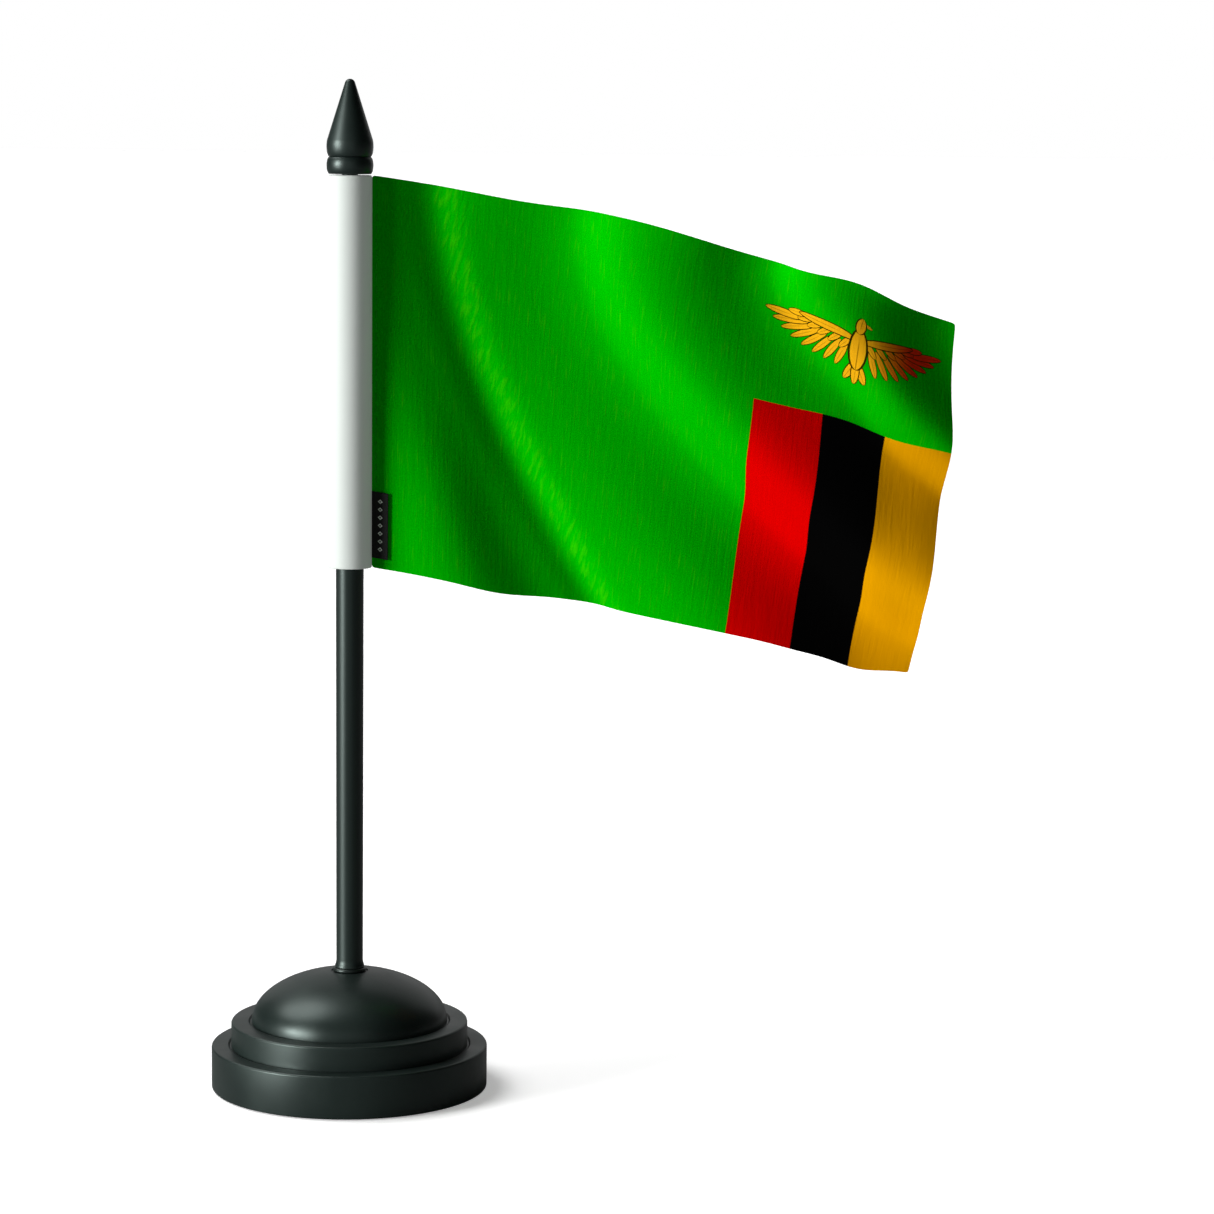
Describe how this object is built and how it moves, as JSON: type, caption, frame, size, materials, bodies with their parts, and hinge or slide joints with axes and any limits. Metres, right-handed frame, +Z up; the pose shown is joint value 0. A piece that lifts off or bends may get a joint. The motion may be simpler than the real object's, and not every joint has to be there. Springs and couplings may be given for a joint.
{
  "type": "desk flag stand",
  "caption": "Small table flag: stepped domed base, plastic pole that lifts out, cone finial, and a cloth flag on a sleeve that swings round the pole.",
  "frame": {"origin": "on the pole's axis, on the surface that the stand rests on", "axes": "+Z up along the pole; +X from the pole towards the flag's fly edge at rest; -Y is the front"},
  "size_m": [0.1917, 0.0716, 0.2605],
  "materials": {
    "shell_plastic": "satin moulded, near-black with a green tinge",
    "plate_plastic": "fine spark-eroded grain",
    "pad_foam": "closed-cell foam, matt",
    "ballast_steel": "stamped steel, dull",
    "screw_zinc": "bright zinc plate",
    "bush_plastic": "satin moulded",
    "pole_plastic": "satin extruded tube",
    "finial_plastic": "satin moulded",
    "sleeve_cloth": "white satin polyester hem",
    "flag_cloth": "printed satin polyester",
    "label_cloth": "woven label, plain"
  },
  "bodies": {
    "base": {"base_shell": "shell_plastic", "bottom_plate": "plate_plastic", "foot_pad": "pad_foam", "ballast_ring": "ballast_steel", "plate_screw_1": "screw_zinc", "plate_screw_2": "screw_zinc", "plate_screw_3": "screw_zinc"},
    "bush": {"socket_bush": "bush_plastic"},
    "pole": {"pole": "pole_plastic"},
    "finial": {"finial": "finial_plastic"},
    "flag": {"flag_sleeve": "sleeve_cloth", "flag_panel": "flag_cloth", "side_label": "label_cloth"}
  },
  "joints": [
    {"name": "pole_turn", "type": "hinge", "parent": "base", "child": "bush", "pos_m": [0, 0, 0.0305], "axis": [0, 0, 1], "continuous": true},
    {"name": "pole_lift", "type": "slide", "parent": "bush", "child": "pole", "axis": [0, 0, 1], "range_m": [0, 0.027]},
    {"name": "finial_pull", "type": "slide", "parent": "pole", "child": "finial", "axis": [0, 0, 1], "range_m": [0, 0.0125]},
    {"name": "flag_swivel", "type": "hinge", "parent": "pole", "child": "flag", "pos_m": [0, 0, 0.236], "axis": [0, 0, 1], "continuous": true}
  ]
}
